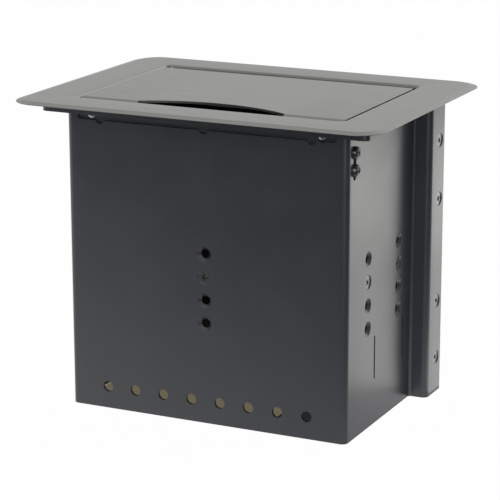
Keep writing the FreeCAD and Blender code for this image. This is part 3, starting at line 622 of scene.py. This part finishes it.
def screw(head, rim, crown, seat, shank, length, pitch, recess):
    """Screw along Z. The head is a grid of u and v, mapped to a disc by x = u sqrt(1 - v v / 2) and likewise
    y, raised by a crown and sunk by the recess. Rings follow from its rim: down, in to the shank, and along
    the thread."""
    reach, width, depth = recess
    wall = np.array([0.0, width / 2, width / 2 + RECESS_WALL])
    steps = np.concatenate([wall, reach * ARM_STEPS, np.linspace(reach, head, RIM_STEPS)[1:]]) / head
    lines = np.concatenate([-steps[:0:-1], steps])
    u, v = np.meshgrid(lines, lines, indexing="ij")
    x = head * u * np.sqrt(1 - v * v / 2)
    y = head * v * np.sqrt(1 - u * u / 2)
    lift = crown * np.sqrt(np.clip(1 - (x * x + y * y) / (head * head), 0.0, 1.0))
    z = rim + lift - recess_depth(x, y, reach, width, depth)
    n = len(lines)
    number = np.arange(n * n).reshape(n, n)
    quads = np.stack([number[:-1, :-1], number[1:, :-1], number[1:, 1:], number[:-1, 1:]], axis=-1)
    edge = np.concatenate([number[:-1, 0], number[-1, :-1], number[:0:-1, -1], number[0, :0:-1]])
    theta = np.arctan2(y.ravel()[edge], x.ravel()[edge])
    turn_radius, turn_z = thread(shank, seat[1], -length, pitch, theta)
    around = np.ones((1, len(theta)))
    neck_radius = column(head, head, shank) * around
    radius = np.concatenate([neck_radius, turn_radius, shank * TIP_SHARE * around])
    neck_z = column(rim, seat[0], seat[1]) * around
    z_rings = np.concatenate([neck_z, turn_z * around, (-length - TIP) * around])
    verts = np.concatenate([np.stack([x, y, z], axis=-1).reshape(-1, 3), rings(radius, z_rings, theta)])
    return verts, quads.reshape(-1, 4).tolist() + ring_faces(n * n, len(radius), len(theta))


# %% Countersunk and pan-head screws
M4_RADIUS = 2.0
M3_RADIUS = 1.5
M4_PITCH = 0.7
M3_PITCH = 0.5
M4_PAN = 3.1                      # height of a pan head
M3_PAN = 2.0
M4_RECESS = (2.1, 0.95, 1.4)      # reach of an arm, its width, its depth
M3_RECESS = (1.5, 0.7, 1.0)
CSK_LAND = 0.15                   # upright edge of a countersunk head
PAN_RIM = 0.45                    # upright share of a pan head
KINDS = {                         # height above the seat, shank radius, pitch, recess
    "panel_screws": (0.0, M4_RADIUS, M4_PITCH, M4_RECESS),
    "rear_screws": (0.0, M4_RADIUS, M4_PITCH, M4_RECESS),
    "hinge_screws": (0.0, M4_RADIUS, M4_PITCH, M4_RECESS),
    "rail_screws": (M4_PAN, M4_RADIUS, M4_PITCH, M4_RECESS),
    "insert_screws": (M3_PAN, M3_RADIUS, M3_PITCH, M3_RECESS),
}


def screws(node_name, axis=None):
    """Screws for every solid of a node, sized from its box. A pan head has a crown and a countersunk one
    a cone."""
    shapes = []
    for count, (low, high) in enumerate(solids(node_name)):
        middle, facing = head_seat(low, high, axis)
        along = int(np.argmax(np.abs(facing)))
        size = (high - low) / MM
        head = np.delete(size, along).max() / 2
        pan, shank, pitch, recess = KINDS[node_name]
        length = size[along] - pan - TIP
        if pan:
            rim, crown, seat = PAN_RIM * pan, (1 - PAN_RIM) * pan, (0.0, 0.0)
        else:
            rim, crown, seat = 0.0, 0.0, (-CSK_LAND, shank - head)
        shape = screw(head, rim, crown, seat, shank, length, pitch, recess)
        base = middle - facing * pan * MM
        shapes.append((stood(shape[0], base, facing, count * GOLDEN_TURN), shape[1]))
    group(node_name + "_cross", node_name, shapes)


for name in ("panel_screws", "rear_screws", "hinge_screws", "rail_screws"):
    screws(name)
screws("insert_screws", 2)

# %% Nuts
NUT_AROUND = 72
NUT_FACE = 0.95                   # round washer face, as a share of the flats
NUT_CHAMFER = math.tan(math.radians(30.0))
BORE_CHAMFER = 0.35


def hexagon_nut(flats, height, bore):
    """Nut about Z: rings from the bore over the face to the hexagon, whose corners drop along a cone of
    30 degrees, and back."""
    theta = np.arange(NUT_AROUND) * 2 * np.pi / NUT_AROUND
    hexagon = flats / 2 / np.cos((theta + np.pi / 6) % (np.pi / 3) - np.pi / 6)
    face = flats / 2 * NUT_FACE
    drop = (hexagon - face) * NUT_CHAMFER
    flat = np.ones(NUT_AROUND)
    upper_radius = [bore * flat, (bore + BORE_CHAMFER) * flat, face * flat, hexagon]
    below_top = [BORE_CHAMFER * flat, 0 * flat, 0 * flat, drop]
    radius = np.stack(upper_radius + upper_radius[::-1])
    z = np.stack([height - depth for depth in below_top] + below_top[::-1])
    verts = rings(radius, z, theta)
    walls = ring_faces(0, len(radius), NUT_AROUND)[:-1]
    ahead = np.roll(np.arange(NUT_AROUND), -1)
    last = (len(radius) - 1) * NUT_AROUND
    bore_wall = np.stack([last + np.arange(NUT_AROUND), np.arange(NUT_AROUND), ahead, last + ahead], axis=-1)
    return verts, walls + bore_wall.tolist()


def nuts(node_name, bore):
    """A nut for every solid of a node. Its box gives the axis, the flats and the way the corners point."""
    shapes = []
    for low, high in solids(node_name):
        axis = odd_axis(low, high)
        size = (high - low) / MM
        flats = np.delete(size, axis).min()
        facing = np.eye(3)[axis]
        middle = (low + high) / 2
        middle[axis] = low[axis]
        wide = int(np.argmax(np.where(np.arange(3) == axis, 0.0, size)))
        level = 0 if axis == 2 else 2
        turn = 0.0 if wide == level else np.pi / 2
        shape = hexagon_nut(flats, size[axis], bore)
        shapes.append((stood(shape[0], middle, facing, turn), shape[1]))
    group(node_name + "_hex", node_name, shapes)


M4_BORE = 2.05
M5_BORE = 2.55
for name in ("rear_nuts", "hinge_nuts", "rail_nuts", "panel_nuts", "frame_nuts"):
    nuts(name, M4_BORE)
nuts("earth_nut", M5_BORE)

# %% Studs and rivets
STUD_AROUND = 40
CENTRE = 0.01                     # radius of the first ring, a pinhole in the middle of the end
M5_PITCH = 0.8
M5_RADIUS = 2.5
EARTH_FOOT = 1.0
RIVET_HEIGHT = 1.1                # height of the head
RIVET_SHANK = 1.6                 # radius of the shank
RIVET_TAIL = 1.7                  # radius of the upset end
RIVET_UPSET = 0.8                 # length of the upset end
MANDREL_HOLE = 0.24               # radius of the hole's floor, as a share of the head's
MANDREL_RIM = 0.28                # radius of the hole's edge
DOME_START = 0.3                  # radius at which the dome starts
DOME_RINGS = 8
DOME_ROUND = 0.98                 # how nearly the dome is a whole quarter ellipse
DOME_EDGE = 0.25                  # level that the dome's ellipse rises from, as a share of the head's height
MANDREL_FLOOR = 0.55              # height of the hole's floor


def threaded_bar(radius, length, pitch, foot=None):
    """Threaded bar along +Z, with a round foot of (radius, height) at its start where it has one."""
    theta = np.arange(STUD_AROUND) * 2 * np.pi / STUD_AROUND
    foot_radius, foot_height = foot or (radius, 0.0)
    turn_radius, turn_z = thread(radius, length - TIP, foot_height, pitch, theta)
    around = np.ones((1, STUD_AROUND))
    end_radius = column(CENTRE, TIP_SHARE * radius) * around
    radius_rings = np.concatenate([end_radius, turn_radius, column(foot_radius, foot_radius) * around])
    end_z = column(length, length) * around
    z_rings = np.concatenate([end_z, turn_z * around, column(foot_height, 0.0) * around])
    return rings(radius_rings, z_rings, theta), ring_faces(0, len(radius_rings), STUD_AROUND)


def studs(node_name, pitch, facing, foot=None):
    """Threaded bars for the solids of a node, pointing one way."""
    axis = int(np.argmax(np.abs(facing)))
    shapes = []
    for low, high in solids(node_name):
        size = (high - low) / MM
        middle = (low + high) / 2
        middle[axis] = low[axis] if facing[axis] > 0 else high[axis]
        radius = np.delete(size, axis).max() / 2 if foot is None else foot[0]
        base = None if foot is None else (np.delete(size, axis).max() / 2, foot[1])
        shape = threaded_bar(radius, size[axis], pitch, base)
        shapes.append((stood(shape[0], middle, np.array(facing, dtype=float), 0.0), shape[1]))
    group(node_name + "_threaded", node_name, shapes)


def rivet(head, height, shank, length, tail):
    """Blind rivet: rings over the domed flange with its mandrel hole, then down the shank to its tail."""
    theta = np.arange(STUD_AROUND) * 2 * np.pi / STUD_AROUND
    dome = np.linspace(DOME_START, 1.0, DOME_RINGS)
    arch = height * (DOME_EDGE + (1 - DOME_EDGE) * np.sqrt(1 - DOME_ROUND * dome ** 2))
    hole = MANDREL_FLOOR * height
    tail_z = RIVET_UPSET - length
    hole_radius = (CENTRE, MANDREL_HOLE * head, MANDREL_RIM * head)
    radius = column(*hole_radius, *(dome * head), head, shank, shank, tail, tail)
    z = column(hole, hole, arch[0], *arch, 0.0, 0.0, tail_z, tail_z, -length)
    return rings(radius, z, theta), ring_faces(0, len(radius), STUD_AROUND)


studs("frame_studs", M4_PITCH, (0, 0, -1))
studs("earth_stud", M5_PITCH, (1, 0, 0), (M5_RADIUS, EARTH_FOOT))
rivets = []
for low, high in solids("rest_rivets"):
    middle, facing = head_seat(low, high, 1)
    width, length, _ = (high - low) / MM
    shape = rivet(width / 2, RIVET_HEIGHT, RIVET_SHANK, length - RIVET_HEIGHT, RIVET_TAIL)
    rivets.append((stood(shape[0], middle - facing * RIVET_HEIGHT * MM, facing, 0.0), shape[1]))
group("rest_rivets_domed", "rest_rivets", rivets)

# %% [markdown]
# ## Floor, room and light
# The box stands on a white sweep. For the camera the sweep shines by itself at a strength of 1, which
# is white. Mirrors see it fade towards the camera's side, where a studio is dark. The rest of it is a
# plain pale floor that keeps the shadow. Inside the box, glowing patches are painted shade for the dim
# floor that shows through the tie holes: brown, and darker near the right wall.
# The room is brightest behind the box on the left. Two lights lie on the floor where the right wall
# mirrors them, and a large one fills from the front.

# %% Floor and room
FLOOR_SIZE = 12.0
FLOOR_GLOW = 0.985                # share of the floor that shines for camera and mirror rays
FLOOR_GAP = 0.2 * MM              # floor to the box's lower edge
PALE_FLOOR = "#c4c4c2"
BRIGHT_SIDE = (-0.5, 0.8, 0.33)   # where the room is brightest
DARK_LEAN = -0.4                  # lean to that side at which the room is darkest
ROOM_DARK = 0.28
ROOM_BRIGHT = 1.05
FADE_TO = (0.62, -0.78, 0.0)      # towards the dark side of the studio
FADE_NEAR = 0.02                  # where the floor starts to fade in mirrors
FADE_FAR = 0.31                   # where it is darkest
FADE_LEVEL = 0.0


def seen_directly(tree):
    """1 for camera, glossy and transmission rays, which show the background, else 0."""
    path = node(tree, "LightPath")
    seen = path.outputs["Is Camera Ray"]
    for kind in ("Is Glossy Ray", "Is Transmission Ray"):
        seen = node(tree, "Math", {0: seen, 1: path.outputs[kind]}, operation="MAXIMUM").outputs[0]
    return seen


def studio_fade(tree):
    """Strength of the sweep: 1 for camera rays, and for mirror rays a fall along one way on the floor."""
    place = node(tree, "TexCoord").outputs["Object"]
    along = node(tree, "VectorMath", {0: place, 1: FADE_TO}, operation="DOT_PRODUCT")
    limits = {"From Min": FADE_NEAR, "From Max": FADE_FAR, "To Min": 1.0, "To Max": FADE_LEVEL}
    fade = node(tree, "MapRange", {"Value": along.outputs["Value"], **limits})
    direct = node(tree, "LightPath").outputs["Is Camera Ray"]
    return node(tree, "Math", {0: fade.outputs["Result"], 1: direct}, operation="MAXIMUM").outputs[0]


def sweep_material(name, colour, strength, share):
    """Pale diffuse floor, of which a share shines in a colour for the rays that see it directly."""
    material = bpy.data.materials.new(name)
    material.use_nodes = True
    tree = material.node_tree
    tree.nodes.clear()
    pale = node(tree, "BsdfDiffuse", {"Color": linear(PALE_FLOOR)})
    glow = node(tree, "Emission", {"Color": linear(colour), "Strength": strength(tree)})
    factor = node(tree, "Math", {0: seen_directly(tree), 1: share}, operation="MULTIPLY")
    mix = node(tree, "MixShader", {0: factor.outputs[0], 1: pale.outputs[0], 2: glow.outputs[0]})
    node(tree, "OutputMaterial", {"Surface": mix.outputs[0]})
    return material


def flat_sheet(name, low, high, z, material):
    """Level rectangle of the stage."""
    (left, front), (right, rear) = low, high
    corners = np.array([[left, front, z], [right, front, z], [right, rear, z], [left, rear, z]])
    sheet = mesh_object(name, corners, [range(4)])
    sheet.data.materials.append(material)
    bpy.context.scene.collection.objects.link(sheet)


half = FLOOR_SIZE / 2
white_sweep = sweep_material("white_sweep", "#ffffff", studio_fade, FLOOR_GLOW)
flat_sheet("floor", (-half, -half), (half, half), -FLOOR_GAP, white_sweep)

INNER_SHADE = "#696150"           # painted shade: brown glow that stands in for the dim floor in the closed box
DARK_SHADE = "#262627"            # darker painted shade for the floor near the right wall
INNER_END = 0.036                 # where the darker painted shade starts
rail_low, rail_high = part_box("front_rail")
panel_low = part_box("rear_panel")[0]
# Painted shade: a brown glowing patch stands in for the dim floor seen through the tie holes.
flat_sheet("painted_shade_brown_patch", (rail_low.x, rail_low.y), (INNER_END, panel_low.y), -FLOOR_GAP / 2,
           sweep_material("painted_brown_shade", INNER_SHADE, lambda tree: 1.0, 1.0))
# Painted shade: a darker glowing patch stands in for the unlit floor near the right wall.
flat_sheet("painted_shade_right_patch", (INNER_END, rail_low.y), (rail_high.x, panel_low.y), -FLOOR_GAP / 2,
           sweep_material("painted_darker_shade", DARK_SHADE, lambda tree: 1.0, 1.0))


def room_level(tree):
    """Strength of the room: 1 for camera rays, else a rise with the direction's lean to the bright side."""
    way = node(tree, "TexCoord").outputs["Generated"]
    lean = node(tree, "VectorMath", {0: way, 1: BRIGHT_SIDE}, operation="DOT_PRODUCT")
    limits = {"From Min": DARK_LEAN, "From Max": 1.0, "To Min": ROOM_DARK, "To Max": ROOM_BRIGHT}
    rise = node(tree, "MapRange", {"Value": lean.outputs["Value"], **limits})
    direct = node(tree, "LightPath").outputs["Is Camera Ray"]
    mix = node(tree, "MapRange", {"Value": direct, "To Min": rise.outputs["Result"], "To Max": 1.0})
    return mix.outputs["Result"]


world = bpy.data.worlds.new("room")
world.use_nodes = True
tree = world.node_tree
tree.nodes.clear()
room = node(tree, "Background", {"Color": (1.0, 1.0, 1.0, 1.0), "Strength": room_level(tree)})
node(tree, "OutputWorld", {"Surface": room.outputs[0]})
bpy.context.scene.world = world

# %% Softboxes


def softbox(name, place, facing, size, radiance, turn=0.0, colour=(1.0, 1.0, 1.0)):
    """Rectangular light of an even radiance, turned about its axis. Its power is pi times its area times
    the radiance."""
    light = bpy.data.lights.new(name, "AREA")
    light.shape = "RECTANGLE"
    light.size = size[0]
    light.size_y = size[1]
    light.energy = math.pi * size[0] * size[1] * radiance
    light.color = colour
    lamp = bpy.data.objects.new(name, light)
    back = -np.array(facing) / np.linalg.norm(facing)
    side = np.cross([0.0, 1.0, 0.0], back)
    side = side / np.linalg.norm(side)
    over = np.cross(back, side)
    turned_side = math.cos(turn) * side + math.sin(turn) * over
    turned_over = math.cos(turn) * over - math.sin(turn) * side
    pose = np.eye(4)
    pose[:3, :3] = np.column_stack([turned_side, turned_over, back])
    pose[:3, 3] = place
    lamp.matrix_world = Matrix(pose.tolist())
    lamp.visible_camera = False
    bpy.context.scene.collection.objects.link(lamp)


WARM = (1.0, 0.99, 0.935)
UPWARDS = (0.0, 0.0, 1.0)
STRIP = (0.377, 0.926)            # way of the strip of floor that the right wall mirrors
STRIP_TURN = math.atan2(*STRIP)
softbox("overhead_light", (-0.6, -0.4, 1.6), (0.6, 0.4, -1.5), (1.4, 1.4), 0.3)
softbox("rear_light", (1.2, 4.0, 2.4), (-1.2, -4.0, -2.2), (3.4, 2.4), 1.5)
softbox("near_floor_light", (0.174, 0.230, 0.002), UPWARDS, (0.20, 0.39), 0.76, STRIP_TURN, WARM)
softbox("far_floor_light", (0.342, 0.642, 0.002), UPWARDS, (0.34, 0.50), 1.44, STRIP_TURN, WARM)
softbox("fill_light", (0.8, -1.7, 0.55), (-0.8, 1.7, -0.4), (3.0, 1.1), 2.9)
